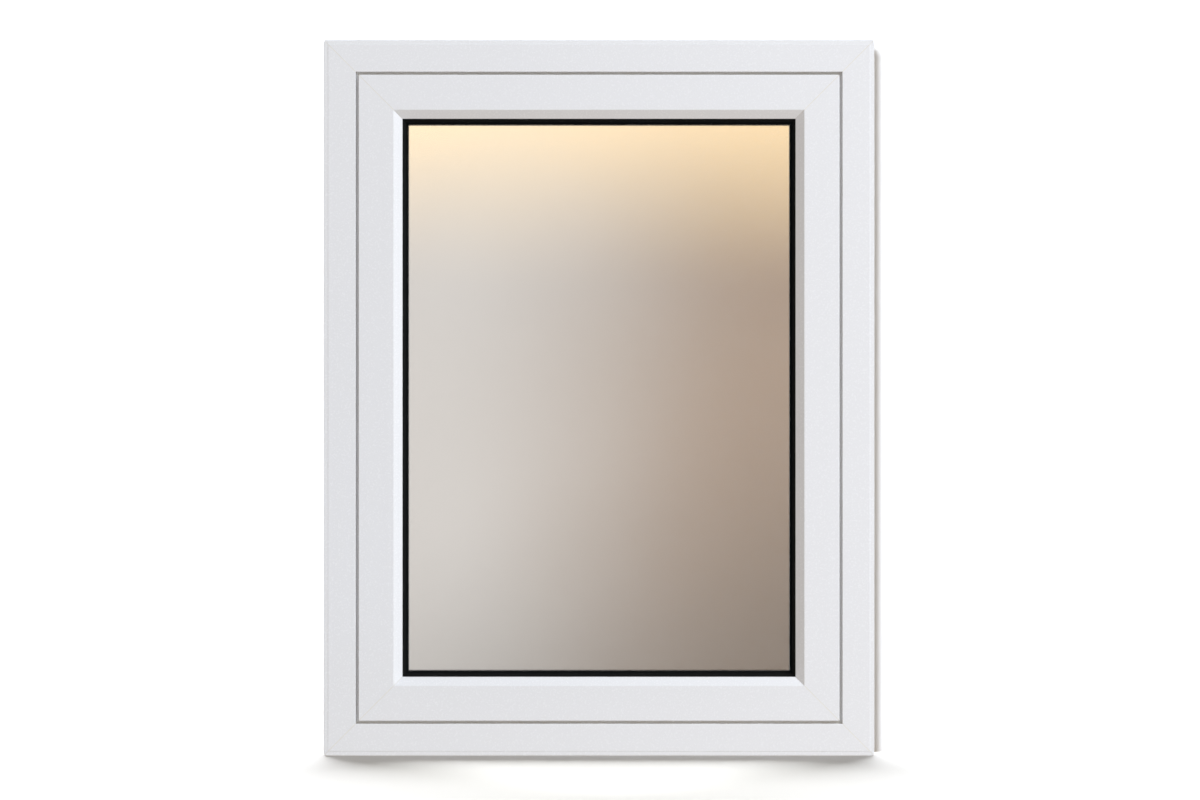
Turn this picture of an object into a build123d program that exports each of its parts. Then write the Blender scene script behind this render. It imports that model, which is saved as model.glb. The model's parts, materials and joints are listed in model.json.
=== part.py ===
from build123d import *
import os
from typing import NamedTuple

os.makedirs("parts", exist_ok=True)

# A fixed window of welded hollow profiles: an outer frame, a sash set flush in it, and a sealed
# unit of three panes held by gaskets and snap-in beads. Sizes are in millimetres. The window
# stands on Z = 0, X = 0 is its middle, Y = 0 is the middle of its depth and outside is at -Y.
# Every section is drawn in two coordinates: u runs inwards from the outer edge of the frame, and
# v runs from the exterior face towards the room.

# Overall size
window_width = 800.0
window_height = 1040.0

# Walls, webs and roundings of the extruded profiles
wall = 2.8
web = 1.4
bead_wall = 1.6
groove_wall = 1.6
edge_radius = 1.0
nose_radius = 0.8
frame_corner_radius = 4.5
sash_corner_radius = 1.5

# Exterior faces, in order from the outer edge inwards
strip_width = 6.5
strip_depth = 0.7
strip_step = 0.5
frame_face = 46.5
shadow_gap = 4.0
sash_face = 51.0
bevel_width = 12.5
bevel_depth = 10.0
nose_edge = 5.0

# Frame rebate, with the ledge behind the shadow gap and the stop on the room side
ledge_depth = 7.0
ledge_thickness = 2.5
ledge_play = 0.5
front_row_depth = 12.0
stop_reach = 18.0
stop_thickness = 15.0
room_gap = 4.0

# Sash around its perimeter, with the hardware groove that such profiles carry
leg_depth = 14.0
packer_room = 10.0
seal_room = 3.0
hardware_inset = 38.0
hardware_mouth = 12.0
hardware_width = 20.0
hardware_lip = 3.0
hardware_depth = 8.0

# Sealed unit and its seat
pane_thickness = 4.0
cavity = 10.0
arris = 0.4
rebate_cover = 15.0
edge_clearance = 5.0
spacer_show = 8.2
spacer_height = 8.0
spacer_wall = 0.8

# Glazing gaskets
gasket_thickness = 3.0
gasket_lip = 4.5
gasket_lip_edge = 1.0
gasket_lip_rise = 1.4
gasket_land = 9.0
gasket_root_width = 2.1
gasket_root_depth = 2.3
gasket_root_inset = 4.0
gasket_play = 0.2

# Glazing beads
bead_depth = 17.0
bead_cover = 17.0
bead_nose = 4.5
bead_brow = 4.0
bead_radius = 5.0
bead_seat = 2.0
clip_start = 3.0
clip_width = 5.0
clip_reach = 3.0
clip_play = 0.2

# Weather seal between the stop and the sash
seal_inset = 8.0
seal_width = 7.0
seal_tip = 3.0
seal_root_width = 2.6
seal_root_depth = 3.4
seal_hollow = 0.9

# Grooves for fixing clips, along the outer side of the frame
anchor_inset = 16.0
anchor_mouth = 7.0
anchor_width = 10.0
anchor_lip = 1.5
anchor_depth = 3.6

# Weld seams, fixing holes, drain slots and blocks
weld_width = 0.8
fixing_radius = 4.0
fixing_from_corner = 200.0
drain_length = 28.0
drain_width = 5.0
frame_drain_from_corner = 150.0
sash_drain_from_corner = 230.0
sash_drain_inset = 23.0
block_length = 100.0
glass_block_from_corner = 60.0
packer_depth = 24.0
packer_from_corner = 90.0

# Stations across the section, inwards
u_rebate = frame_face
u_ledge = u_rebate + shadow_gap - ledge_play
u_leg = u_rebate + shadow_gap
u_packer = u_rebate + packer_room
u_stop = u_rebate + stop_reach
u_overlap = u_stop + room_gap
u_bevel = u_leg + sash_face
u_nose = u_bevel + bevel_width
u_floor = u_nose - rebate_cover
u_glass = u_floor + edge_clearance
u_sight = u_nose + spacer_show
u_spacer = u_sight - spacer_height
u_seat = u_floor - bead_seat
u_clip = u_seat - clip_reach
u_bead = u_floor + bead_cover
u_seal = u_stop - seal_inset

# Stations through the depth, towards the room
v_nose = bevel_depth + nose_edge
v_unit = v_nose + gasket_thickness
unit_thickness = 3 * pane_thickness + 2 * cavity
v_unit_back = v_unit + unit_thickness
v_bead = v_unit_back + gasket_thickness
depth = v_bead + bead_depth
v_stop = depth - stop_thickness
v_step = v_stop - seal_room
v_clip = v_bead + clip_start
v_lip = v_clip + clip_width
v_seal_floor = v_stop + seal_root_depth

glass_width = window_width - 2 * u_glass
glass_height = window_height - 2 * u_glass
to_room = Vector(0, 1, 0)


class Side(NamedTuple):
    """One side of the window: the middle of its outer exterior edge, the way in, its length."""

    middle: Vector
    inward: Vector
    length: float

    @property
    def along(self) -> Vector:
        return self.inward.cross(to_room)

    def point(self, along: float, u: float, v: float) -> Vector:
        return self.middle + self.along * along + self.inward * u + to_room * v

    def plane(self, along: float, u: float, v: float) -> Plane:
        """Cross-section plane, whose X is u and whose Y is v."""
        return Plane(origin=self.point(along, u, v), x_dir=self.inward, z_dir=self.along)

    def looking_in(self, u: float, v: float) -> Plane:
        """Plane square to the way in, whose X runs along the side."""
        return Plane(origin=self.point(0, u, v), x_dir=self.along, z_dir=self.inward)


sides = {
    "top": Side(Vector(0, -depth / 2, window_height), Vector(0, 0, -1), window_width),
    "bottom": Side(Vector(0, -depth / 2, 0), Vector(0, 0, 1), window_width),
    "left": Side(Vector(-window_width / 2, -depth / 2, window_height / 2), Vector(1, 0, 0), window_height),
    "right": Side(Vector(window_width / 2, -depth / 2, window_height / 2), Vector(-1, 0, 0), window_height),
}


def facing(v: float) -> Plane:
    """Plane parallel to the glass at depth v, centred on the window, seen from the room."""
    return Plane(origin=(0, v - depth / 2, window_height / 2), x_dir=(1, 0, 0), z_dir=(0, 1, 0))


def mitred_bar(section: Sketch, side: Side) -> Part:
    """A bar of the section along one side, cut at 45 degrees at both corners."""
    with BuildPart() as bar:
        with BuildSketch(side.plane(0, 0, 0)):
            add(section)
        extrude(amount=side.length / 2, both=True)
        for end in (side.along, side.along * -1):
            corner = side.middle + end * (side.length / 2)
            split(bisect_by=Plane(origin=corner, z_dir=(end + side.inward) * -1), keep=Keep.TOP)
    return bar.part


def weld_seams(side: Side, runs: list) -> Part:
    """The V-shaped bars that cut the seams at both corners of a side, along runs of (u, v)."""
    with BuildPart() as seams:
        for end in (side.along, side.along * -1):
            corner = side.middle + end * (side.length / 2)
            diagonal = side.inward - end
            for (u_from, v_from), (u_to, v_to) in runs:
                start = corner + diagonal * u_from + to_room * v_from
                finish = corner + diagonal * u_to + to_room * v_to
                with BuildSketch(Plane(origin=start, x_dir=side.inward + end, z_dir=finish - start)):
                    RegularPolygon(radius=weld_width / 2, side_count=4)
                extrude(amount=(finish - start).length)
    return seams.part


def cut_groove(u: float, v: float, mouth: float, width: float, lip: float, reach: float) -> None:
    """Lays a walled T-groove into the section in work, its mouth open towards the outer edge."""
    inwards = (Align.MIN, Align.CENTER)
    with Locations((u, v)):
        Rectangle(reach + groove_wall, width + 2 * groove_wall, align=inwards)
        Rectangle(lip, mouth, align=inwards, mode=Mode.SUBTRACT)
    with Locations((u + lip, v)):
        Rectangle(reach - lip, width, align=inwards, mode=Mode.SUBTRACT)


def label_and_export(piece: Part, name: str) -> None:
    piece.label = name
    export_step(piece, f"parts/{name}.step")


# Section of the frame
u_core = anchor_depth + groove_wall + web
core_depths = (front_row_depth + web, v_step - wall)
v_back_row = v_seal_floor + web
frame_chambers = [
    ((strip_width, frame_face / 2 - web / 2), (wall, front_row_depth)),
    ((frame_face / 2 + web / 2, u_rebate - wall), (wall, front_row_depth)),
    ((wall, u_core + wall), core_depths),
    ((u_core + wall + web, u_rebate - wall), core_depths),
    ((wall, u_rebate - wall), (core_depths[1] + web, v_back_row - web)),
    ((wall, frame_face / 2 - web / 2), (v_back_row, depth - wall)),
    ((frame_face / 2 + web / 2, u_stop - wall), (v_back_row, depth - wall)),
]

with BuildSketch() as frame_section:
    with BuildLine():
        Polyline(
            (0, strip_depth),
            (strip_width - strip_step, strip_step),
            (strip_width, 0),
            (u_rebate, 0),
            (u_rebate, ledge_depth),
            (u_ledge, ledge_depth),
            (u_ledge, ledge_depth + ledge_thickness),
            (u_rebate, ledge_depth + ledge_thickness),
            (u_rebate, v_stop),
            (u_stop, v_stop),
            (u_stop, depth),
            (0, depth),
            close=True,
        )
    make_face()
    wall_edges = frame_section.vertices().group_by(Axis.X)[0]
    gap_edge = frame_section.vertices().group_by(Axis.Y)[0].sort_by(Axis.X)[-1]
    room_edge = frame_section.vertices().group_by(Axis.Y)[-1].sort_by(Axis.X)[-1]
    fillet([*wall_edges, gap_edge, room_edge], radius=edge_radius)
    for (u_low, u_high), (v_low, v_high) in frame_chambers:
        with Locations(((u_low + u_high) / 2, (v_low + v_high) / 2)):
            Rectangle(u_high - u_low, v_high - v_low, mode=Mode.SUBTRACT)
    for v_anchor in (anchor_inset, depth - anchor_inset):
        cut_groove(0, v_anchor, anchor_mouth, anchor_width, anchor_lip, anchor_depth)
    with Locations((u_seal, v_stop)):
        Rectangle(
            seal_root_width,
            seal_root_depth,
            align=(Align.CENTER, Align.MIN),
            mode=Mode.SUBTRACT,
        )

# Section of the sash
bevel_slope = bevel_depth / bevel_width
u_root = u_nose - gasket_root_inset - gasket_root_width
v_root = v_nose - gasket_root_depth
sash_chambers = [
    ((u_leg + wall, (u_leg + u_floor) / 2 - web / 2), (wall, leg_depth - web)),
    (((u_leg + u_floor) / 2 + web / 2, u_floor - web / 2), (wall, leg_depth - web)),
    ((u_packer + wall, u_floor - wall), (leg_depth, leg_depth + wall + web)),
    ((u_packer + wall, u_floor - wall), (leg_depth + wall + 2 * web, v_step - wall)),
    ((u_overlap + wall, u_clip - bead_wall), (v_step - wall + web, depth - wall)),
]

with BuildSketch() as sash_section:
    with BuildLine():
        Polyline(
            (u_leg, 0),
            (u_bevel, 0),
            (u_nose, bevel_depth),
            (u_nose, v_nose),
            (u_floor, v_nose),
            (u_floor, v_clip),
            (u_clip, v_clip),
            (u_clip, v_lip),
            (u_seat, v_lip),
            (u_seat, depth),
            (u_overlap, depth),
            (u_overlap, v_step),
            (u_packer, v_step),
            (u_packer, leg_depth),
            (u_leg, leg_depth),
            close=True,
        )
    make_face()
    fillet(sash_section.vertices().group_by(Axis.X)[-1].sort_by(Axis.Y)[0], radius=nose_radius)
    fillet(sash_section.vertices().group_by(Axis.Y)[0], radius=edge_radius)
    fillet(sash_section.vertices().group_by(Axis.Y)[-1].sort_by(Axis.X)[0], radius=edge_radius)
    for (u_low, u_high), (v_low, v_high) in sash_chambers:
        with Locations(((u_low + u_high) / 2, (v_low + v_high) / 2)):
            Rectangle(u_high - u_low, v_high - v_low, mode=Mode.SUBTRACT)
    cut_groove(u_packer, hardware_inset, hardware_mouth, hardware_width, hardware_lip, hardware_depth)
    with BuildLine():
        Polyline(
            (u_floor + web / 2, wall),
            (u_bevel, wall),
            (u_root, wall + bevel_slope * (u_root - u_bevel)),
            (u_root, v_root - web),
            (u_floor + web / 2, v_root - web),
            close=True,
        )
    make_face(mode=Mode.SUBTRACT)
    with Locations((u_root, v_root)):
        Rectangle(
            gasket_root_width,
            gasket_root_depth,
            align=(Align.MIN, Align.MIN),
            mode=Mode.SUBTRACT,
        )

# Section of the glazing bead, with its clip, hollow and rounded brow
with BuildSketch() as bead_section:
    with BuildLine():
        Polyline(
            (u_floor + clip_play, v_bead),
            (u_bead, v_bead),
            (u_bead, v_bead + bead_nose),
            (u_seat + bead_brow, depth),
            (u_seat + clip_play, depth),
            (u_seat + clip_play, v_lip - clip_play),
            (u_clip + clip_play, v_lip - clip_play),
            (u_clip + clip_play, v_clip + clip_play + clip_reach / 2),
            (u_seat, v_clip + clip_play),
            (u_floor + clip_play, v_clip + clip_play),
            close=True,
        )
    make_face()
    brow = bead_section.vertices().group_by(Axis.Y)[-1].sort_by(Axis.X)[-1]
    fillet(brow, radius=bead_radius)
    fillet(bead_section.vertices().group_by(Axis.X)[-1], radius=edge_radius)
    with BuildLine():
        Polyline(
            (u_floor + clip_play + bead_wall, v_bead + bead_wall),
            (u_bead - bead_wall, v_bead + bead_wall),
            (u_bead - bead_wall, v_bead + bead_nose - bead_wall / 2),
            (u_seat + bead_brow, depth - 2 * bead_wall),
            (u_floor + clip_play + bead_wall, depth - 2 * bead_wall),
            close=True,
        )
    make_face(mode=Mode.SUBTRACT)

# Sections of the gaskets on both sides of the glass
with BuildSketch() as outer_gasket_section:
    with BuildLine():
        Polyline(
            (u_nose - gasket_land, v_nose),
            (u_nose, v_nose),
            (u_nose, v_nose - gasket_lip_rise),
            (u_nose + gasket_lip, v_unit - gasket_lip_edge),
            (u_nose + gasket_lip, v_unit),
            (u_nose - gasket_land, v_unit),
            close=True,
        )
    make_face()
    with Locations((u_root + gasket_play, v_nose)):
        Rectangle(
            gasket_root_width - 2 * gasket_play,
            gasket_root_depth - gasket_play,
            align=(Align.MIN, Align.MAX),
        )

with BuildSketch() as inner_gasket_section:
    with BuildLine():
        Polyline(
            (u_bead - gasket_land, v_bead),
            (u_bead, v_bead),
            (u_bead, v_bead + gasket_lip_rise),
            (u_bead + gasket_lip, v_unit_back + gasket_lip_edge),
            (u_bead + gasket_lip, v_unit_back),
            (u_bead - gasket_land, v_unit_back),
            close=True,
        )
    make_face()

# Section of the weather seal, a hollow bulb on a root
with BuildSketch() as seal_section:
    with BuildLine():
        Polyline(
            (u_seal - seal_width / 2, v_stop),
            (u_seal - seal_tip / 2, v_step),
            (u_seal + seal_tip / 2, v_step),
            (u_seal + seal_width / 2, v_stop),
            close=True,
        )
    make_face()
    with Locations((u_seal, (v_stop + v_step) / 2)):
        Circle(seal_hollow, mode=Mode.SUBTRACT)
    with Locations((u_seal, v_stop)):
        Rectangle(
            seal_root_width - 2 * gasket_play,
            seal_root_depth - gasket_play,
            align=(Align.CENTER, Align.MIN),
        )

# Sections in both cavities of the sealed unit: the hollow spacer bar and the seal behind it
cavity_starts = [v_unit + pane_thickness, v_unit + 2 * pane_thickness + cavity]

with BuildSketch() as spacer_section:
    for v_cavity in cavity_starts:
        with Locations(((u_spacer + u_sight) / 2, v_cavity + cavity / 2)):
            Rectangle(spacer_height, cavity)
            Rectangle(spacer_height - 2 * spacer_wall, cavity - 2 * spacer_wall, mode=Mode.SUBTRACT)

with BuildSketch() as edge_seal_section:
    for v_cavity in cavity_starts:
        with Locations(((u_glass + u_spacer) / 2, v_cavity + cavity / 2)):
            Rectangle(u_spacer - u_glass, cavity)

# Outer frame
frame_names = {
    "top": "frame_head",
    "bottom": "frame_sill",
    "left": "frame_jamb_left",
    "right": "frame_jamb_right",
}
frame_seams = [
    ((0, strip_depth), (strip_width, strip_step)),
    ((strip_width, 0), (u_rebate + weld_width, 0)),
    ((0, depth), (u_stop + weld_width, depth)),
]
v_fixing = (core_depths[0] + core_depths[1]) / 2

for place, side in sides.items():
    with BuildPart() as member:
        add(mitred_bar(frame_section.sketch, side))
        with BuildSketch(facing(0)):
            RectangleRounded(window_width, window_height, frame_corner_radius)
        extrude(amount=depth, mode=Mode.INTERSECT)
        add(weld_seams(side, frame_seams), mode=Mode.SUBTRACT)
        if place in ("left", "right"):
            fixing_spacing = side.length - 2 * fixing_from_corner
            with BuildSketch(side.looking_in(0, v_fixing)):
                with GridLocations(fixing_spacing, 0, 2, 1):
                    Circle(fixing_radius)
            extrude(amount=u_rebate, mode=Mode.SUBTRACT)
        if place == "bottom":
            drain_spacing = side.length - 2 * frame_drain_from_corner
            with BuildSketch(side.looking_in(0, v_fixing)):
                with GridLocations(drain_spacing, 0, 2, 1):
                    SlotOverall(drain_length, drain_width)
            extrude(amount=u_rebate, mode=Mode.SUBTRACT)
    label_and_export(member.part, frame_names[place])

# Sash
sash_names = {
    "top": "sash_top_rail",
    "bottom": "sash_bottom_rail",
    "left": "sash_stile_left",
    "right": "sash_stile_right",
}
sash_seams = [
    ((u_leg - weld_width, 0), (u_bevel, 0)),
    ((u_bevel, 0), (u_nose, bevel_depth)),
    ((u_overlap - weld_width, depth), (u_seat + weld_width, depth)),
]

for place, side in sides.items():
    with BuildPart() as member:
        add(mitred_bar(sash_section.sketch, side))
        with BuildSketch(facing(0)):
            RectangleRounded(window_width - 2 * u_leg, window_height - 2 * u_leg, sash_corner_radius)
        extrude(amount=depth, mode=Mode.INTERSECT)
        add(weld_seams(side, sash_seams), mode=Mode.SUBTRACT)
        if place == "bottom":
            drain_spacing = side.length - 2 * sash_drain_from_corner
            with BuildSketch(side.looking_in(u_packer, sash_drain_inset)):
                with GridLocations(drain_spacing, 0, 2, 1):
                    SlotOverall(drain_length, drain_width)
            extrude(amount=u_floor - u_packer, mode=Mode.SUBTRACT)
    label_and_export(member.part, sash_names[place])

# Bars that run round the glass and the rebate, one on each side
bar_sections = {
    "glazing_bead": bead_section,
    "outer_gasket": outer_gasket_section,
    "inner_gasket": inner_gasket_section,
    "weather_seal": seal_section,
    "spacer_bar": spacer_section,
    "edge_seal": edge_seal_section,
}

for piece_name, section in bar_sections.items():
    for place, side in sides.items():
        with BuildPart() as bar:
            add(mitred_bar(section.sketch, side))
        label_and_export(bar.part, f"{piece_name}_{place}")

# Panes
pane_starts = {
    "outer_pane": v_unit,
    "middle_pane": v_unit + pane_thickness + cavity,
    "inner_pane": v_unit + 2 * (pane_thickness + cavity),
}

for pane_name, v_pane in pane_starts.items():
    with BuildPart() as pane:
        with BuildSketch(facing(v_pane)):
            Rectangle(glass_width, glass_height)
        extrude(amount=pane_thickness)
        chamfer(pane.edges().filter_by(Axis.Y, reverse=True), length=arris)
    label_and_export(pane.part, pane_name)

# Blocks that carry and centre the glass, and packers between the frame and the sash
class BlockRow(NamedTuple):
    """Blocks of one kind: their sides, their outer face, their size and their place."""

    places: tuple
    u_low: float
    thickness: float
    v_middle: float
    width: float
    from_corner: float


v_unit_middle = v_unit + unit_thickness / 2
block_rows = {
    "setting_blocks": BlockRow(
        places=("bottom",),
        u_low=u_floor,
        thickness=edge_clearance,
        v_middle=v_unit_middle,
        width=unit_thickness,
        from_corner=u_glass + glass_block_from_corner,
    ),
    "location_blocks": BlockRow(
        places=("left", "right", "top"),
        u_low=u_floor,
        thickness=edge_clearance,
        v_middle=v_unit_middle,
        width=unit_thickness,
        from_corner=u_glass + glass_block_from_corner,
    ),
    "sash_packers": BlockRow(
        places=("bottom", "left", "right", "top"),
        u_low=u_rebate,
        thickness=packer_room,
        v_middle=v_fixing,
        width=packer_depth,
        from_corner=packer_from_corner,
    ),
}

for row_name, row in block_rows.items():
    with BuildPart() as blocks:
        for place in row.places:
            side = sides[place]
            block_spacing = side.length - 2 * row.from_corner - block_length
            with BuildSketch(side.looking_in(row.u_low, row.v_middle)):
                with GridLocations(block_spacing, 0, 2, 1):
                    Rectangle(block_length, row.width)
            extrude(amount=row.thickness)
    label_and_export(blocks.part, row_name)
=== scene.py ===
"""Finishes, weld beads, stage and camera for a white fixed window.

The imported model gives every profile, pane, gasket and bead at its real size. This script dresses
them, adds the weld beads at the mitred corners and sets up the plain pale studio. Lengths are in
metres: X runs along the window, -Y is outside, +Y is the room and Z is up from the sill.
"""

import json
import logging
import math
import random
from dataclasses import dataclass, field
from enum import Enum
from typing import Any, Iterable, Union

import bpy
from mathutils import Matrix, Vector

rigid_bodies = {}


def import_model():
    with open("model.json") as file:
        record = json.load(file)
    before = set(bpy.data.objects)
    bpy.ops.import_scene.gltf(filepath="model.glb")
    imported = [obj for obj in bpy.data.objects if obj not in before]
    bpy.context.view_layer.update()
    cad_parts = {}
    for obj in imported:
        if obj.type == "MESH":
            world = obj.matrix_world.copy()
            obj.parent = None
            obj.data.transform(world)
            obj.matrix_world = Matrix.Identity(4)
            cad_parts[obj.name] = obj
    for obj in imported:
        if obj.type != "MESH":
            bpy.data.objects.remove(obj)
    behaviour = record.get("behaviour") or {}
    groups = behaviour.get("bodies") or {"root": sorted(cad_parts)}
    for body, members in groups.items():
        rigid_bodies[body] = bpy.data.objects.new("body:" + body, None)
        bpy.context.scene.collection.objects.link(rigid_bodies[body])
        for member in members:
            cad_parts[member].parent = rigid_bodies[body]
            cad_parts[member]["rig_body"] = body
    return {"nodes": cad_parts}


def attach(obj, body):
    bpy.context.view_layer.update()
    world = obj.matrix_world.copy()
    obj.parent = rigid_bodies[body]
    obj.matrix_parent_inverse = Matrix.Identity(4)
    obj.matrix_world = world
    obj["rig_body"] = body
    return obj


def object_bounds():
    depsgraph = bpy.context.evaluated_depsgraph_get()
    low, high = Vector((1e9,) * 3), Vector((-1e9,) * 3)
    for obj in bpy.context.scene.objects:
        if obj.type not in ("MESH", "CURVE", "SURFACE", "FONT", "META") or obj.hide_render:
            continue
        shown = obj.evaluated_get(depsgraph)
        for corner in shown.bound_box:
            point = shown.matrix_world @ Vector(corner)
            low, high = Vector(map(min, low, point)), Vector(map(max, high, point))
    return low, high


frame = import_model()
cad_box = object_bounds()

log = logging.getLogger("fixed_window")

Colour = tuple[float, float, float]
Point = tuple[float, float, float]
Span = tuple[float, float]

MM = 0.001
BLACK: Colour = (0.0, 0.0, 0.0)
WHITE: Colour = (1.0, 1.0, 1.0)
PANES = ("outer_pane", "middle_pane", "inner_pane")


class Run(Enum):
    """Which way an extruded profile runs."""

    ACROSS = "X"
    UPRIGHT = "Z"


class Place(Enum):
    """The four sides of the window, with the way each profile runs."""

    TOP = ("top", Run.ACROSS)
    BOTTOM = ("bottom", Run.ACROSS)
    LEFT = ("left", Run.UPRIGHT)
    RIGHT = ("right", Run.UPRIGHT)

    @property
    def word(self) -> str:
        """The side's word in a node's name."""
        return self.value[0]

    @property
    def run(self) -> Run:
        """The way a profile on this side runs."""
        return self.value[1]


class Wire:
    """An output socket with arithmetic: each expression on it adds Math nodes."""

    def __init__(self, tree: "Tree", socket: bpy.types.NodeSocket) -> None:
        """Keeps the tree and the socket."""
        self.tree = tree
        self.socket = socket

    def maths(self, operation: str, *values: "Number") -> "Wire":
        """Adds one Math node.

        Args:
            operation: Blender's name of the operation.
            values: what it works on, as numbers or wires.

        Returns:
            The node's result.
        """
        inputs = dict(enumerate(values))
        return self.tree.add("ShaderNodeMath", {"operation": operation}, inputs)

    def __add__(self, other: "Number") -> "Wire":
        """Sum."""
        return self.maths("ADD", self, other)

    __radd__ = __add__

    def __sub__(self, other: "Number") -> "Wire":
        """Difference."""
        return self.maths("SUBTRACT", self, other)

    def __rsub__(self, other: "Number") -> "Wire":
        """Difference from a number."""
        return self.maths("SUBTRACT", other, self)

    def __mul__(self, other: "Number") -> "Wire":
        """Product."""
        return self.maths("MULTIPLY", self, other)

    __rmul__ = __mul__

    def __truediv__(self, other: "Number") -> "Wire":
        """Quotient."""
        return self.maths("DIVIDE", self, other)

    def __rtruediv__(self, other: "Number") -> "Wire":
        """Quotient of a number by the value."""
        return self.maths("DIVIDE", other, self)

    def __abs__(self) -> "Wire":
        """Size without its sign."""
        return self.maths("ABSOLUTE", self)

    def least(self, other: "Number") -> "Wire":
        """The smaller of two values."""
        return self.maths("MINIMUM", self, other)

    def most(self, other: "Number") -> "Wire":
        """The larger of two values."""
        return self.maths("MAXIMUM", self, other)

    def off_centre(self, pitch: float) -> "Wire":
        """How far the value is from the middle of its step, 0 to 0.5 of a step."""
        return abs(self.maths("FRACT", self / pitch) - 0.5)

    def fade(self, start: float, end: float, low: float = 0.0, high: float = 1.0) -> "Wire":
        """A smooth change from low to high as the value goes from start to end.

        Args:
            start: value at which the change begins.
            end: value at which it is complete.
            low: result before the change.
            high: result after the change.

        Returns:
            The changed value.
        """
        settings = {"interpolation_type": "SMOOTHSTEP", "clamp": True}
        inputs = {"Value": self, "From Min": start, "From Max": end, "To Min": low, "To Max": high}
        return self.tree.add("ShaderNodeMapRange", settings, inputs)


Number = Union[float, Wire]
Paint = Union[Colour, Wire]


class Tree:
    """A material's or the world's node tree, whose nodes are all made by one method."""

    def __init__(self, owner: Union[bpy.types.Material, bpy.types.World]) -> None:
        """Empties the owner's node tree.

        Args:
            owner: the material or world.
        """
        owner.use_nodes = True
        self.nodes = owner.node_tree.nodes
        self.links = owner.node_tree.links
        self.nodes.clear()

    def node(
        self,
        kind: str,
        settings: dict[str, Any] | None = None,
        inputs: dict[str | int, Any] | None = None,
    ) -> bpy.types.Node:
        """Makes one node.

        Args:
            kind: Blender's node type.
            settings: properties of the node, set before its inputs.
            inputs: socket name or number to a wire or a plain value.

        Returns:
            The node.
        """
        node = self.nodes.new(kind)
        for name, value in (settings or {}).items():
            setattr(node, name, value)
        for name, value in (inputs or {}).items():
            if isinstance(value, Wire):
                self.links.new(value.socket, node.inputs[name])
            else:
                node.inputs[name].default_value = value
        return node

    def add(
        self,
        kind: str,
        settings: dict[str, Any] | None = None,
        inputs: dict[str | int, Any] | None = None,
        out: str | int = 0,
    ) -> Wire:
        """Makes one node and takes one of its outputs.

        Args:
            kind: Blender's node type.
            settings: properties of the node.
            inputs: socket name or number to a wire or a plain value.
            out: name or number of the output.

        Returns:
            That output as a wire.
        """
        return Wire(self, self.node(kind, settings, inputs).outputs[out])

    def axes(self, coordinates: str = "Object") -> tuple[Wire, Wire, Wire]:
        """Coordinates one by one.

        Args:
            coordinates: Blender's name of the kind of coordinates.

        Returns:
            X, Y and Z.
        """
        place = self.add("ShaderNodeTexCoord", out=coordinates)
        split = self.node("ShaderNodeSeparateXYZ", inputs={0: place})
        return tuple(Wire(self, socket) for socket in split.outputs)

    def stretched(self, scale: Point) -> Wire:
        """Stretches the object's coordinates, for grain that runs one way.

        Args:
            scale: factor along each axis.

        Returns:
            The coordinates.
        """
        place = self.add("ShaderNodeTexCoord", out="Object")
        inputs = {"Vector": place, "Scale": scale}
        return self.add("ShaderNodeMapping", {"vector_type": "POINT"}, inputs)

    def noise(self, scale: float, detail: float, vector: Wire | None = None) -> Wire:
        """A noise between 0 and 1.

        Args:
            scale: grains a metre.
            detail: how many finer layers are added.
            vector: coordinates to use in place of the object's own.

        Returns:
            The noise's value.
        """
        place = vector or self.add("ShaderNodeTexCoord", out="Object")
        inputs = {"Vector": place, "Scale": scale, "Detail": detail}
        return self.add("ShaderNodeTexNoise", inputs=inputs)

    def drawn(self, run: Run, grains: Span) -> Wire:
        """Fine lines along an extruded piece.

        Args:
            run: the way it runs.
            grains: grains a metre along and across it.

        Returns:
            The lines, 0 to 1.
        """
        along, across = grains
        scale = (along, across, across) if run is Run.ACROSS else (across, across, along)
        return self.noise(1.0, 3.0, self.stretched(scale))

    def mix(self, factor: Number, first: Paint, second: Paint) -> Wire:
        """A colour between two colours.

        Args:
            factor: 0 for the first and 1 for the second.
            first: wire or colour.
            second: wire or colour.

        Returns:
            The mixed colour.
        """
        paints = {
            socket: (*paint, 1.0) if isinstance(paint, tuple) else paint
            for socket, paint in ((6, first), (7, second))
        }
        return self.add("ShaderNodeMix", {"data_type": "RGBA"}, {0: factor, **paints}, out=2)

    def bump(self, height: Wire, distance: float) -> Wire:
        """A normal from a height.

        Args:
            height: the height, 0 to 1.
            distance: metres for a height of 1.

        Returns:
            The bent normal.
        """
        inputs = {"Height": height, "Distance": distance, "Strength": 1.0}
        return self.add("ShaderNodeBump", inputs=inputs)

    def principled(self, inputs: dict[str | int, Any]) -> Wire:
        """The general shader with these inputs."""
        return self.add("ShaderNodeBsdfPrincipled", inputs=inputs)

    def finish(self, shader: Wire, kind: str = "ShaderNodeOutputMaterial") -> None:
        """Sends the shader to the tree's output node."""
        self.node(kind, inputs={"Surface": shader})


def scaled(colour: Colour, factor: float) -> Colour:
    """A colour made lighter or darker."""
    return tuple(channel * factor for channel in colour)


@dataclass(frozen=True)
class Finish:
    """A finish that builds its own material."""

    name: str

    def material(self) -> bpy.types.Material:
        """Builds the material.

        Returns:
            The new material.
        """
        made = bpy.data.materials.new(self.name)
        tree = Tree(made)
        tree.finish(self.shader(tree))
        return made

    def shader(self, tree: Tree) -> Wire:
        """The shader, which each kind of finish builds in its own way."""
        raise NotImplementedError


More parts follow.
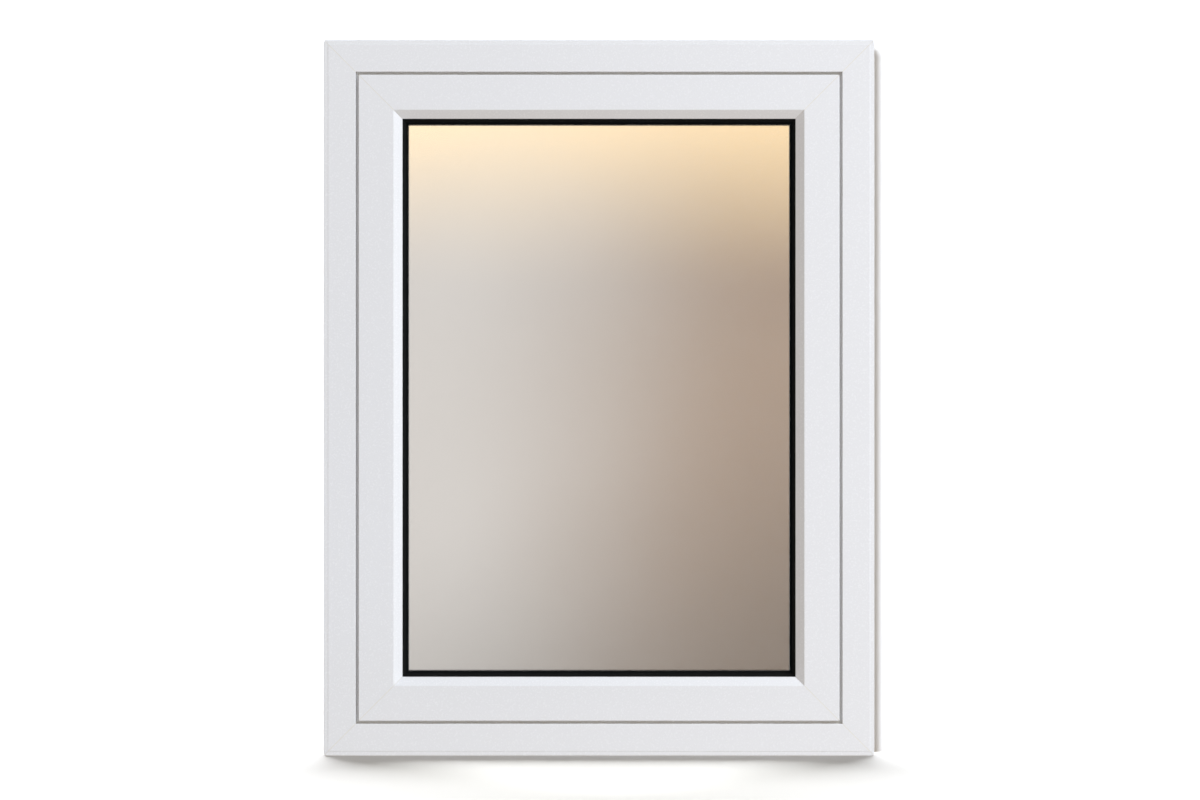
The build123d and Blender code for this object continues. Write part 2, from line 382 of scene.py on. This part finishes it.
@dataclass(frozen=True)
class WhiteProfile(Finish):
    """Extruded white plastic with fine draw lines, warmer welds and painted shade deep in the gap.
    """

    run: Run
    dust_share: float
    colour: Colour = (0.812, 0.824, 0.872)
    roughness: float = 0.27
    ior: float = 1.53
    coat_weight: float = 0.12
    coat_roughness: float = 0.12
    draw_grains: Span = (4.0, 900.0)
    skin_grains: float = 420.0
    skin_change: float = 0.008
    skin_roughness: float = 0.04
    relief: float = 0.0004 * MM
    weld_colour: Colour = (0.685, 0.66, 0.62)
    weld_half_width: float = 0.45 * MM
    weld_edge: float = 1.6
    weld_share: float = 0.6
    weld_roughness: float = 0.25
    # Painted shade deep in the gap between frame and sash: its colour, the depths over which it
    # grows, and where the gap lies.
    dust_colour: Colour = (0.58, 0.54, 0.46)
    dust_depth: Span = (1.0 * MM, 4.0 * MM)
    gap_middle: float = 48.5 * MM
    gap_reach: float = 2.5 * MM
    gap_edge: float = 1.2

    def weld_and_dust(self, tree: Tree) -> tuple[Wire, Wire]:
        """Where the mitred corners are welded, and where painted shade darkens the gap deep down.

        Args:
            tree: the material's tree.

        Returns:
            Two masks.
        """
        low, high = cad_box
        x, y, z = tree.axes()
        from_side = (high.x - low.x) / 2 - abs(x)
        from_end = z.least((high.z - low.z) - z)
        off_mitre = abs(from_side - from_end)
        weld_end = self.weld_half_width * self.weld_edge
        weld = off_mitre.fade(self.weld_half_width, weld_end, 1.0, 0.0)
        off_gap = abs(from_side.least(from_end) - self.gap_middle)
        in_gap = off_gap.fade(self.gap_reach, self.gap_reach * self.gap_edge, 1.0, 0.0)
        # Painted shade: darker the deeper into the gap, up to the run's share.
        deep = (y - low.y).fade(*self.dust_depth, 0.0, self.dust_share)
        return weld, in_gap * deep

    def shader(self, tree: Tree) -> Wire:
        """Builds the shader.

        Args:
            tree: the material's tree.

        Returns:
            The shader.
        """
        # dust here is the mask of painted shade deep in the gap, which darkens the base colour.
        weld, dust = self.weld_and_dust(tree)
        draw = tree.drawn(self.run, self.draw_grains)
        skin = tree.noise(self.skin_grains, 2.0)
        deeper = scaled(self.colour, 1.0 - self.skin_change)
        paler = scaled(self.colour, 1.0 + self.skin_change)
        body = tree.mix(skin, deeper, paler)
        welded = tree.mix(weld * self.weld_share, body, self.weld_colour)
        roughness = (skin - 0.5) * self.skin_roughness + self.roughness
        return tree.principled(
            {
                "Base Color": tree.mix(dust, welded, self.dust_colour),
                "Roughness": roughness + weld * self.weld_roughness,
                "Normal": tree.bump(draw * 0.5 + skin * 0.5, self.relief),
                "IOR": self.ior,
                "Coat Weight": self.coat_weight,
                "Coat Roughness": self.coat_roughness,
            }
        )


@dataclass(frozen=True)
class WeldBead(Finish):
    """Plastic that was pressed out of the weld and trimmed, a little warmer and duller."""

    name: str = "weld_bead"
    colour: Colour = (0.715, 0.695, 0.655)
    colour_change: float = 0.1
    patch_grains: float = 60.0
    grains: float = 700.0
    roughness: Span = (0.4, 0.65)
    relief: float = 0.03 * MM
    ior: float = 1.53

    def shader(self, tree: Tree) -> Wire:
        """Builds the shader.

        Args:
            tree: the material's tree.

        Returns:
            The shader.
        """
        grain = tree.noise(self.grains, 3.0)
        patches = tree.noise(self.patch_grains, 2.0)
        deeper = scaled(self.colour, 1.0 - self.colour_change)
        paler = scaled(self.colour, 1.0 + self.colour_change)
        smoothest, roughest = self.roughness
        return tree.principled(
            {
                "Base Color": tree.mix(patches, deeper, paler),
                "Roughness": grain * (roughest - smoothest) + smoothest,
                "Normal": tree.bump(grain, self.relief),
                "IOR": self.ior,
            }
        )


@dataclass(frozen=True)
class BlackRubber(Finish):
    """Matte black extruded rubber with a faint bloom and draw lines."""

    run: Run
    colour: Colour = (0.0025, 0.003, 0.0031)
    roughness: float = 0.55
    ior: float = 1.3
    specular: float = 0.2
    draw_grains: Span = (12.0, 1500.0)
    draw_roughness: float = 0.2
    relief: float = 0.01 * MM
    bloom_grains: float = 35.0
    bloom_fade: Span = (0.45, 0.8)
    bloom_gain: float = 1.8
    bloom_roughness: float = 0.12

    def shader(self, tree: Tree) -> Wire:
        """Builds the shader.

        Args:
            tree: the material's tree.

        Returns:
            The shader.
        """
        draw = tree.drawn(self.run, self.draw_grains)
        bloom = tree.noise(self.bloom_grains, 4.0)
        bloomed = scaled(self.colour, self.bloom_gain)
        roughness = (draw - 0.5) * self.draw_roughness + bloom * self.bloom_roughness
        return tree.principled(
            {
                "Base Color": tree.mix(bloom.fade(*self.bloom_fade), self.colour, bloomed),
                "Roughness": roughness + self.roughness,
                "Normal": tree.bump(draw, self.relief),
                "IOR": self.ior,
                "Specular IOR Level": self.specular,
            }
        )


@dataclass(frozen=True)
class SpacerBarFinish(Finish):
    """Black spacer bar with rows of fine vent holes along its seen face."""

    run: Run
    colour: Colour = (0.004, 0.005, 0.0055)
    roughness: Span = (0.38, 0.53)
    ior: float = 1.35
    hole_pitch: float = 2.4 * MM
    hole_edge: Span = (0.08, 0.22)
    row_pitch: float = 3.3 * MM
    row_edge: Span = (0.1, 0.26)
    hole_depth: float = 0.25 * MM
    dust_grains: float = 90.0
    dust_fade: Span = (0.4, 0.9)
    dust_gain: float = 2.2

    def shader(self, tree: Tree) -> Wire:
        """Builds the shader.

        Args:
            tree: the material's tree.

        Returns:
            The shader.
        """
        x, y, z = tree.axes()
        along = x if self.run is Run.ACROSS else z
        between_holes = along.off_centre(self.hole_pitch).fade(*self.hole_edge)
        between_rows = y.off_centre(self.row_pitch).fade(*self.row_edge)
        dust = tree.noise(self.dust_grains, 3.0)
        dusty = scaled(self.colour, self.dust_gain)
        smoothest, roughest = self.roughness
        return tree.principled(
            {
                "Base Color": tree.mix(dust.fade(*self.dust_fade), self.colour, dusty),
                "Roughness": dust * (roughest - smoothest) + smoothest,
                "Normal": tree.bump(between_holes.most(between_rows), self.hole_depth),
                "IOR": self.ior,
            }
        )


@dataclass(frozen=True)
class EdgeSealant(Finish):
    """Black sealant, tooled by hand and slightly uneven."""

    name: str = "edge_sealant"
    colour: Colour = (0.011, 0.011, 0.012)
    lump_grains: float = 120.0
    lump_gain: float = 2.0
    roughness: Span = (0.45, 0.65)
    relief: float = 0.3 * MM

    def shader(self, tree: Tree) -> Wire:
        """Builds the shader.

        Args:
            tree: the material's tree.

        Returns:
            The shader.
        """
        lumps = tree.noise(self.lump_grains, 3.0)
        smoothest, roughest = self.roughness
        return tree.principled(
            {
                "Base Color": tree.mix(lumps, self.colour, scaled(self.colour, self.lump_gain)),
                "Roughness": lumps * (roughest - smoothest) + smoothest,
                "Normal": tree.bump(lumps, self.relief),
            }
        )


@dataclass(frozen=True)
class FloatGlass(Finish):
    """Clear float glass of a sealed unit, a little warm, that lets lamps light what is behind."""

    tint: Colour
    tint_change: Span = (0.985, 1.012)
    cloud_grains: float = 2.2
    wipe_grains: Point = (9.0, 9.0, 2.5)
    wipe_fade: Span = (0.45, 0.8)
    smear: float = 0.008
    ior: float = 1.52
    lamp_tint: Colour = (0.96, 0.96, 0.955)

    def shader(self, tree: Tree) -> Wire:
        """Builds the shader.

        Args:
            tree: the material's tree.

        Returns:
            The shader.
        """
        wiped = tree.noise(1.0, 3.0, tree.stretched(self.wipe_grains))
        cloud = tree.noise(self.cloud_grains, 2.0)
        deeper, paler = (scaled(self.tint, change) for change in self.tint_change)
        glass = tree.principled(
            {
                "Base Color": tree.mix(cloud, deeper, paler),
                "Roughness": wiped.fade(*self.wipe_fade) * self.smear,
                "IOR": self.ior,
                "Transmission Weight": 1.0,
            }
        )
        clear = tree.add("ShaderNodeBsdfTransparent", inputs={"Color": (*self.lamp_tint, 1.0)})
        lamp_ray = tree.add("ShaderNodeLightPath", out="Is Shadow Ray")
        return tree.add("ShaderNodeMixShader", inputs={0: lamp_ray, 1: glass, 2: clear})


@dataclass(frozen=True)
class MouldedBlock(Finish):
    """Ribbed moulded plastic of glazing blocks and packers."""

    colour: Colour
    darker: float = 0.85
    grains: float = 300.0
    roughness: Span = (0.4, 0.6)
    rib_pitch: float = 4.0 * MM
    rib_edge: Span = (0.2, 0.3)
    rib_height: float = 0.3 * MM

    def shader(self, tree: Tree) -> Wire:
        """Builds the shader.

        Args:
            tree: the material's tree.

        Returns:
            The shader.
        """
        x, _, z = tree.axes()
        ribs = (x + z).off_centre(self.rib_pitch).fade(*self.rib_edge)
        grain = tree.noise(self.grains, 2.0)
        smoothest, roughest = self.roughness
        return tree.principled(
            {
                "Base Color": tree.mix(grain, scaled(self.colour, self.darker), self.colour),
                "Roughness": grain * (roughest - smoothest) + smoothest,
                "Normal": tree.bump(ribs, self.rib_height),
            }
        )


@dataclass(frozen=True)
class PaleFinish(Finish):
    """Plain matt colour that is clear from behind."""

    colour: Colour

    def shader(self, tree: Tree) -> Wire:
        """Builds the shader.

        Args:
            tree: the material's tree.

        Returns:
            The shader.
        """
        behind = tree.add("ShaderNodeNewGeometry", out="Backfacing")
        pale = tree.add("ShaderNodeBsdfDiffuse", inputs={"Color": (*self.colour, 1.0)})
        clear = tree.add("ShaderNodeBsdfTransparent")
        return tree.add("ShaderNodeMixShader", inputs={0: behind, 1: pale, 2: clear})


@dataclass(frozen=True)
class CloudedGlow(Finish):
    """A slightly uneven glow."""

    colour: Colour
    cloud_grains: float = 0.9
    change: float = 0.4

    def shader(self, tree: Tree) -> Wire:
        """Builds the shader.

        Args:
            tree: the material's tree.

        Returns:
            The shader.
        """
        cloud = tree.noise(self.cloud_grains, 2.0)
        deeper = scaled(self.colour, 1.0 - self.change)
        paler = scaled(self.colour, 1.0 + self.change)
        glow = tree.mix(cloud, deeper, paler)
        return tree.add("ShaderNodeEmission", inputs={"Color": glow, "Strength": 1.0})


@dataclass(frozen=True)
class RoomGlow(Finish):
    """A glow that is pale at the left, warm at the top and deeper at the lower right.

    Each fade runs over metres of X or Z, leans a little and drifts with a slow noise.
    """

    pale: Colour = (0.835, 0.813, 0.824)
    deep: Colour = (0.45, 0.32, 0.235)
    warm: Colour = (2.0, 1.51, 0.84)
    drift_grains: float = 1.6
    right_fade: Span = (-0.31, 0.24)
    right_lean: float = 0.08
    right_drift: float = 0.2
    high_fade: Span = (0.665, 1.12)
    high_drift: float = 0.12
    low_fade: Span = (-0.10, 0.48)
    low_lean: float = 0.45
    low_drift: float = 0.1
    low_share: float = 0.45

    def shader(self, tree: Tree) -> Wire:
        """Builds the shader.

        Args:
            tree: the material's tree.

        Returns:
            The shader.
        """
        x, _, z = tree.axes()
        drift = tree.noise(self.drift_grains, 2.0) - 0.5
        right = (x - z * self.right_lean + drift * self.right_drift).fade(*self.right_fade)
        high = (z + drift * self.high_drift).fade(*self.high_fade)
        lit = (z - x * self.low_lean + drift * self.low_drift).fade(
            *self.low_fade, self.low_share, 1.0
        )
        glow = tree.mix(high, tree.mix(right, self.pale, self.deep), self.warm)
        glow = tree.mix(lit, BLACK, glow)
        return tree.add("ShaderNodeEmission", inputs={"Color": glow, "Strength": 1.0})


def dress(node: str, material: bpy.types.Material) -> None:
    """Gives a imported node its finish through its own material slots.

    Args:
        node: name of the node.
        material: its new material.
    """
    piece = frame["nodes"][node]
    for slot in piece.material_slots:
        slot.material = material
    log.info("%s wears %s", node, material.name)


def select(*pieces: bpy.types.Object) -> None:
    """Selects only these pieces, in object mode, and makes the first of them active.

    Args:
        pieces: the pieces, or none to leave nothing selected.
    """
    if bpy.context.object and bpy.context.object.mode != "OBJECT":
        bpy.ops.object.mode_set(mode="OBJECT")
    bpy.ops.object.select_all(action="DESELECT")
    for piece in pieces:
        piece.select_set(True)
    if pieces:
        bpy.context.view_layer.objects.active = pieces[0]


@dataclass
class WeldBeads:
    """Thin beads in the four mitred seams of a frame, on one of its faces.

    Each bead runs inwards from one distance off the window's edges to another.
    """

    name: str
    start: float
    end: float
    outside: bool
    seed: int
    half_width: float = 0.4 * MM
    sunk: float = 0.04 * MM
    least_sunk_share: float = 0.2
    cuts: int = 36

    @property
    def facing(self) -> float:
        """The face's way along Y."""
        return -1.0 if self.outside else 1.0

    @property
    def depth(self) -> float:
        """The face's place along Y."""
        low, high = cad_box
        return low.y if self.outside else high.y

    def build(self, material: bpy.types.Material) -> bpy.types.Object:
        """Models the four beads as one piece.

        Args:
            material: finish of the beads.

        Returns:
            The piece.
        """
        low, high = cad_box
        chance = random.Random(self.seed)
        beads = []
        for side_x in (-1, 1):
            for side_z in (-1, 1):
                corner = Vector((side_x * high.x, self.depth, low.z if side_z < 0 else high.z))
                inward = Vector((-side_x, 0, -side_z))
                start, end = corner + inward * self.start, corner + inward * self.end
                beads.append(self.bead(start, end, chance))
        select(*beads)
        bpy.ops.object.join()
        piece = bpy.context.object
        piece.name = self.name
        piece.data.materials.clear()
        piece.data.materials.append(material)
        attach(piece, "root")
        log.info("%s added", self.name)
        return piece

    def bead(self, start: Vector, end: Vector, chance: random.Random) -> bpy.types.Object:
        """Models one bead: a bar whose outer side is pressed a little unevenly below the face.

        Args:
            start: its outer end, in the plane of the face.
            end: its inner end.
            chance: source of its unevenness.

        Returns:
            The bead, with its place in its mesh.
        """
        select()
        way = end - start
        bpy.ops.mesh.primitive_cylinder_add(
            vertices=4, radius=self.half_width, depth=way.length, end_fill_type="NGON"
        )
        bead = bpy.context.object
        bpy.ops.object.mode_set(mode="EDIT")
        bpy.ops.mesh.select_all(action="SELECT")
        bpy.ops.mesh.subdivide(number_cuts=1)
        bpy.ops.object.mode_set(mode="OBJECT")
        self.cut_up(way.length)
        self.press(bead, start, end, chance)
        select(bead)
        bpy.ops.object.mode_set(mode="EDIT")
        bpy.ops.mesh.select_all(action="SELECT")
        bpy.ops.mesh.normals_make_consistent(inside=False)
        bpy.ops.object.mode_set(mode="OBJECT")
        return bead

    def cut_up(self, length: float) -> None:
        """Cuts the active bar, which stands on its middle along Z, into short lengths.

        Args:
            length: its length.
        """
        bpy.ops.object.mode_set(mode="EDIT")
        for cut in range(1, self.cuts):
            bpy.ops.mesh.select_all(action="SELECT")
            height = length * (cut / self.cuts - 0.5)
            bpy.ops.mesh.bisect(plane_co=(0, 0, height), plane_no=(0, 0, 1))
        bpy.ops.object.mode_set(mode="OBJECT")

    def press(
        self, bead: bpy.types.Object, start: Vector, end: Vector, chance: random.Random
    ) -> None:
        """Presses the bar's outer side below the face and lays the bar in its seam.

        Args:
            bead: the bar, which stands on its middle along Z.
            start: its outer end, in the plane of the face.
            end: its inner end.
            chance: source of its unevenness.
        """
        across_face = Vector((0, 1, 0))
        along = (end - start).normalized()
        turn = Matrix((along.cross(across_face), across_face, along)).transposed()
        outer_side = self.half_width * 0.1
        for vertex in bead.data.vertices:
            x, y, z = vertex.co
            if y * self.facing > outer_side:
                y = -self.facing * self.sunk * chance.uniform(self.least_sunk_share, 1.0)
            vertex.co = (start + end) / 2 + turn @ Vector((x, y, z))


@dataclass
class OuterFrame:
    """The four mitred profiles that go into the wall."""

    nodes: dict[str, Run] = field(
        default_factory=lambda: {
            "frame_head": Run.ACROSS,
            "frame_sill": Run.ACROSS,
            "frame_jamb_left": Run.UPRIGHT,
            "frame_jamb_right": Run.UPRIGHT,
        }
    )

    def finish(self, profiles: dict[Run, bpy.types.Material]) -> None:
        """Dresses the profiles.

        Args:
            profiles: the white finish of each run.
        """
        for node, run in self.nodes.items():
            dress(node, profiles[run])


@dataclass
class Sash:
    """The four mitred profiles that hold the glass, and their beads."""

    nodes: dict[str, Run] = field(
        default_factory=lambda: {
            "sash_top_rail": Run.ACROSS,
            "sash_bottom_rail": Run.ACROSS,
            "sash_stile_left": Run.UPRIGHT,
            "sash_stile_right": Run.UPRIGHT,
        }
    )

    def finish(self, profiles: dict[Run, bpy.types.Material]) -> None:
        """Dresses the profiles and the glazing beads.

        Args:
            profiles: the white finish of each run.
        """
        for node, run in self.nodes.items():
            dress(node, profiles[run])
        for place in Place:
            dress(f"glazing_bead_{place.word}", profiles[place.run])


@dataclass
class Seals:
    """Gaskets on both sides of the glass, and the weather seal in the rebate."""

    names: tuple[str, ...] = ("outer_gasket", "inner_gasket", "weather_seal")

    def finish(self) -> None:
        """Dresses each strip along the way it runs."""
        rubbers = {run: BlackRubber(f"rubber_{run.name.lower()}", run).material() for run in Run}
        for name in self.names:
            for place in Place:
                dress(f"{name}_{place.word}", rubbers[place.run])


@dataclass
class SealedUnit:
    """Three panes with spacer bars and edge sealant between them."""

    panes: tuple[str, ...] = PANES
    tint: Colour = (0.935, 0.925, 0.905)

    def finish(self) -> None:
        """Dresses the panes, bars and sealant."""
        glass = FloatGlass("float_glass", self.tint).material()
        for pane in self.panes:
            dress(pane, glass)
        bars = {run: SpacerBarFinish(f"spacer_{run.name.lower()}", run).material() for run in Run}
        sealant = EdgeSealant().material()
        for place in Place:
            dress(f"spacer_bar_{place.word}", bars[place.run])
            dress(f"edge_seal_{place.word}", sealant)


@dataclass
class Blocks:
    """Glazing blocks and packers, hidden in the rebates."""

    colours: dict[str, Colour] = field(
        default_factory=lambda: {
            "setting_blocks": (0.02, 0.10, 0.36),
            "location_blocks": (0.03, 0.28, 0.10),
            "sash_packers": (0.45, 0.40, 0.05),
        }
    )

    def finish(self) -> None:
        """Dresses each kind of block."""
        for node, colour in self.colours.items():
            dress(node, MouldedBlock(f"{node}_plastic", colour).material())


class Facing(Enum):
    """The way a flat stage piece faces, as its turn from facing up."""

    UP = (0.0, "X")
    FRONT = (math.pi / 2, "X")
    RIGHT = (math.pi / 2, "Y")

    @property
    def turn(self) -> Matrix:
        """The turn as a matrix."""
        angle, axis = self.value
        return Matrix.Rotation(angle, 4, axis)


class Rays(Enum):
    """Kinds of rays, with the property of a piece that lets them see it."""

    CAMERA = "visible_camera"
    SOFT = "visible_diffuse"
    GLOSS = "visible_glossy"
    THROUGH_GLASS = "visible_transmission"
    SHADOW = "visible_shadow"


@dataclass(frozen=True)
class StagePlane:
    """A flat stage piece that some kinds of rays pass by."""

    name: str
    width: float
    height: float
    middle: Point
    facing: Facing
    finish: Finish
    passed_by: tuple[Rays, ...]

    def build(self) -> bpy.types.Object:
        """Adds the plane, with its place in its mesh.

        Returns:
            The plane.
        """
        select()
        bpy.ops.mesh.primitive_plane_add(size=1.0)
        piece = bpy.context.object
        piece.name = self.name
        stretch = Matrix.Diagonal((self.width, self.height, 1.0, 1.0))
        piece.data.transform(Matrix.Translation(self.middle) @ self.facing.turn @ stretch)
        for rays in self.passed_by:
            setattr(piece, rays.value, False)
        piece.data.materials.append(self.finish.material())
        log.info("%s stands on the stage", self.name)
        return piece


def middle_height() -> float:
    """The height of the window's middle."""
    return (cad_box[0].z + cad_box[1].z) / 2


def collection_of(name: str, members: Iterable[bpy.types.Object]) -> bpy.types.Collection:
    """A collection of what a lamp lights.

    Args:
        name: its name.
        members: the lit objects.

    Returns:
        The collection.
    """
    made = bpy.data.collections.new(name)
    for member in members:
        made.objects.link(member)
    return made


def hang_lamp(
    data: bpy.types.Light, place: Vector, target: Vector, lights: bpy.types.Collection
) -> None:
    """Hangs a lamp that the camera doesn't see.

    Args:
        data: the lamp's settings.
        place: where it hangs.
        target: the point that it is aimed at.
        lights: what it lights.
    """
    lamp = bpy.data.objects.new(data.name, data)
    bpy.context.scene.collection.objects.link(lamp)
    lamp.location = place
    lamp.rotation_mode = "QUATERNION"
    lamp.rotation_quaternion = (target - place).to_track_quat("-Z", "Y")
    lamp.visible_camera = False
    lamp.light_linking.receiver_collection = lights
    log.info("%s hangs in the studio", data.name)


@dataclass(frozen=True)
class SoftLamp:
    """A square soft lamp aimed at the window's middle; its angles are in degrees."""

    name: str
    azimuth: float
    elevation: float
    distance: float
    size: float
    power: float
    colour: Colour

    def build(self, lights: bpy.types.Collection) -> None:
        """Adds the lamp.

        Args:
            lights: what it lights.
        """
        middle = (cad_box[0] + cad_box[1]) / 2
        turn, lift = math.radians(self.azimuth), math.radians(self.elevation)
        level = math.cos(lift)
        away = Vector((math.sin(turn) * level, -math.cos(turn) * level, math.sin(lift)))
        data = bpy.data.lights.new(self.name, "AREA")
        data.shape, data.size = "SQUARE", self.size
        data.energy, data.color = self.power, self.colour
        hang_lamp(data, middle + away * self.distance, middle, lights)


@dataclass(frozen=True)
class FarLamp:
    """A far lamp whose light comes from one way, spread over some degrees."""

    name: str
    comes_from: Point
    spread: float
    strength: float
    colour: Colour

    def build(self, lights: bpy.types.Collection) -> None:
        """Adds the lamp.

        Args:
            lights: what it lights.
        """
        data = bpy.data.lights.new(self.name, "SUN")
        data.angle, data.energy = math.radians(self.spread), self.strength * math.pi
        data.color = self.colour
        hang_lamp(data, Vector(self.comes_from), Vector((0, 0, 0)), lights)


@dataclass
class Studio:
    """Plain pale floor and backdrop, soft lamps, cards and the camera."""

    photo_width_px: float = 1200.0
    window_width_px: float = 550.7
    window_middle_px: tuple[float, float] = (599.0, 397.8)
    photo_middle_px: tuple[float, float] = (600.0, 400.0)
    lens_mm: float = 135.0
    sensor_mm: float = 36.0
    ambient: float = 0.55
    ambient_low_left: Colour = (0.94, 0.803, 0.635)
    ambient_high_right: Colour = (0.795, 0.812, 0.79)
    stage_size: float = 14.0
    floor_colour: Colour = (0.70, 0.685, 0.675)
    backdrop_colour: Colour = (0.80, 0.75, 0.705)
    backdrop_gap: float = 0.5 * MM
    room_card_size: float = 6.0
    room_card_gap: float = 60 * MM
    window_lamps: tuple[SoftLamp, ...] = (
        SoftLamp(
            "key_lamp",
            azimuth=46.0,
            elevation=30.5,
            distance=9.0,
            size=3.5,
            power=540.0,
            colour=(0.953, 1.0, 1.035),
        ),
        SoftLamp(
            "side_lamp",
            azimuth=47.0,
            elevation=-10.0,
            distance=2.5,
            size=1.0,
            power=6.9,
            colour=(1.075, 1.0, 0.948),
        ),
        SoftLamp(
            "front_lamp",
            azimuth=-8.0,
            elevation=-14.0,
            distance=9.0,
            size=2.0,
            power=48.0,
            colour=(0.80, 1.0, 1.34),
        ),
        SoftLamp(
            "room_lamp",
            azimuth=200.0,
            elevation=-4.0,
            distance=9.0,
            size=3.5,
            power=335.0,
            colour=(0.98, 1.0, 1.03),
        ),
    )
    backdrop_lamp: FarLamp = FarLamp(
        "backdrop_lamp",
        comes_from=(-0.185, -1.0, 0.18),
        spread=11.0,
        strength=1.2,
        colour=(0.88, 1.0, 1.16),
    )
    floor_lamp: FarLamp = FarLamp(
        "floor_lamp",
        comes_from=(-0.04, 1.4, 1.0),
        spread=44.0,
        strength=2.9,
        colour=(0.965, 1.0, 1.04),
    )

    def build(self) -> None:
        """Sets up everything around the window."""
        self.world()
        floor = self.pale_plane("floor", (0.0, 0.0, 0.0), Facing.UP, self.floor_colour)
        wall = (0.0, cad_box[1].y + self.backdrop_gap, self.stage_size / 2)
        backdrop = self.pale_plane("backdrop", wall, Facing.FRONT, self.backdrop_colour)
        self.lamps(floor, backdrop)
        self.gloss_cards()
        self.warm_card()
        self.camera()

    def world(self) -> None:
        """Even soft light, and plain white where camera, gloss or glass looks past the stage."""
        world = bpy.data.worlds.new("studio")
        bpy.context.scene.world = world
        tree = Tree(world)
        path = tree.node("ShaderNodeLightPath")
        seen, through, mirrored = (
            Wire(tree, path.outputs[f"Is {rays} Ray"])
            for rays in ("Camera", "Transmission", "Glossy")
        )
        x, _, z = tree.axes("Generated")
        high_right = (x + z).fade(-1.0, 1.0)
        colour = tree.mix(high_right, self.ambient_low_left, self.ambient_high_right)
        soft = tree.add("ShaderNodeBackground", inputs={"Color": colour, "Strength": self.ambient})
        white = tree.add("ShaderNodeBackground", inputs={"Color": (*WHITE, 1.0), "Strength": 1.0})
        looks = seen.most(through).most(mirrored)
        both = tree.add("ShaderNodeMixShader", inputs={0: looks, 1: soft, 2: white})
        tree.finish(both, "ShaderNodeOutputWorld")

    def pale_plane(
        self, name: str, middle: Point, facing: Facing, colour: Colour
    ) -> bpy.types.Object:
        """Adds a pale plane that only the camera sees, so that it adds no light to the window.

        Args:
            name: its name.
            middle: where its middle is.
            facing: the way it faces.
            colour: its colour.

        Returns:
            The plane.
        """
        finish = PaleFinish(f"pale_{name}", colour)
        passed_by = (Rays.SOFT, Rays.GLOSS, Rays.THROUGH_GLASS, Rays.SHADOW)
        size = self.stage_size
        return StagePlane(name, size, size, middle, facing, finish, passed_by).build()

    def lamps(self, floor: bpy.types.Object, backdrop: bpy.types.Object) -> None:
        """Adds the window's lamps, which its panes don't mirror, and those of floor and backdrop.

        Args:
            floor: the floor.
            backdrop: the backdrop.
        """
        panes = [frame["nodes"][pane] for pane in PANES]
        solid = [piece for piece in bpy.data.objects if "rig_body" in piece and piece not in panes]
        window = collection_of("window_pieces", solid)
        for lamp in self.window_lamps:
            lamp.build(window)
        self.backdrop_lamp.build(collection_of("lit_backdrop", [backdrop]))
        self.floor_lamp.build(collection_of("lit_floor", [floor]))

    def gloss_cards(self) -> None:
        """Adds what the glass mirrors to the front, and the sloped edges to the left and down."""
        ahead = (0.0, -9.0, middle_height())
        left = (-3.0, -0.5, middle_height())
        below = (0.0, 0.0, -5 * MM)
        passed_by = (Rays.CAMERA, Rays.SOFT, Rays.SHADOW, Rays.THROUGH_GLASS)
        for name, width, height, middle, facing, colour in (
            ("dark_card", 2.4, 3.0, ahead, Facing.FRONT, (0.029, 0.037, 0.04)),
            ("side_card", 5.0, 5.0, left, Facing.RIGHT, (0.36, 0.30, 0.23)),
            ("low_card", 3.0, 3.0, below, Facing.UP, (0.78, 0.71, 0.59)),
        ):
            glow = CloudedGlow(f"{name}_glow", colour)
            StagePlane(name, width, height, middle, facing, glow, passed_by).build()

    def warm_card(self) -> None:
        """Adds the card behind the window, which shows only through the glass."""
        middle = (0.0, cad_box[1].y + self.room_card_gap, middle_height())
        passed_by = (Rays.CAMERA, Rays.SOFT, Rays.SHADOW, Rays.GLOSS)
        size, glow = self.room_card_size, RoomGlow("warm_card_glow")
        StagePlane("warm_card", size, size, middle, Facing.FRONT, glow, passed_by).build()

    def camera(self) -> None:
        """Stands the camera square in front of the window, at the photograph's scale."""
        low, high = cad_box
        metres_a_px = (high.x - low.x) / self.window_width_px
        view_width = metres_a_px * self.photo_width_px
        distance = self.lens_mm / self.sensor_mm * view_width
        data = bpy.data.cameras.new("camera")
        data.lens, data.sensor_width = self.lens_mm, self.sensor_mm
        camera = bpy.data.objects.new("camera", data)
        bpy.context.scene.collection.objects.link(camera)
        right = (self.photo_middle_px[0] - self.window_middle_px[0]) * metres_a_px
        down = (self.photo_middle_px[1] - self.window_middle_px[1]) * metres_a_px
        camera.location = ((low.x + high.x) / 2 + right, low.y - distance, middle_height() - down)
        camera.rotation_euler = (math.pi / 2, 0, 0)
        bpy.context.scene.camera = camera


def white_profiles() -> dict[Run, bpy.types.Material]:
    """Builds the white finish of each run; the level gaps get darker painted shade than the
    upright ones.

    Returns:
        A material for each run.
    """
    # Shares of the painted shade deep in the gaps, for each run.
    gap_shade_shares = {Run.ACROSS: 0.6, Run.UPRIGHT: 0.36}
    return {
        run: WhiteProfile(f"white_profile_{run.name.lower()}", run, share).material()
        for run, share in gap_shade_shares.items()
    }


def add_weld_beads() -> None:
    """Adds the weld beads of frame and sash, outside and on the room side."""
    weld = WeldBead().material()
    for name, start, end, outside, seed in (
        ("frame_weld_beads_outside", 6.6 * MM, 45.6 * MM, True, 11),
        ("sash_weld_beads_outside", 51.4 * MM, 101.2 * MM, True, 12),
        ("frame_weld_beads_room", 1.5 * MM, 63.4 * MM, False, 13),
        ("sash_weld_beads_room", 69.6 * MM, 96.8 * MM, False, 14),
    ):
        WeldBeads(name, start, end, outside, seed).build(weld)


def main() -> None:
    """Builds and dresses the window, piece by piece, and then the studio."""
    logging.basicConfig(level=logging.INFO, format="%(message)s")
    bpy.context.scene.view_settings.view_transform = "Standard"
    profiles = white_profiles()
    OuterFrame().finish(profiles)
    Sash().finish(profiles)
    Seals().finish()
    SealedUnit().finish()
    Blocks().finish()
    add_weld_beads()
    Studio().build()


if __name__ == "__main__":
    main()
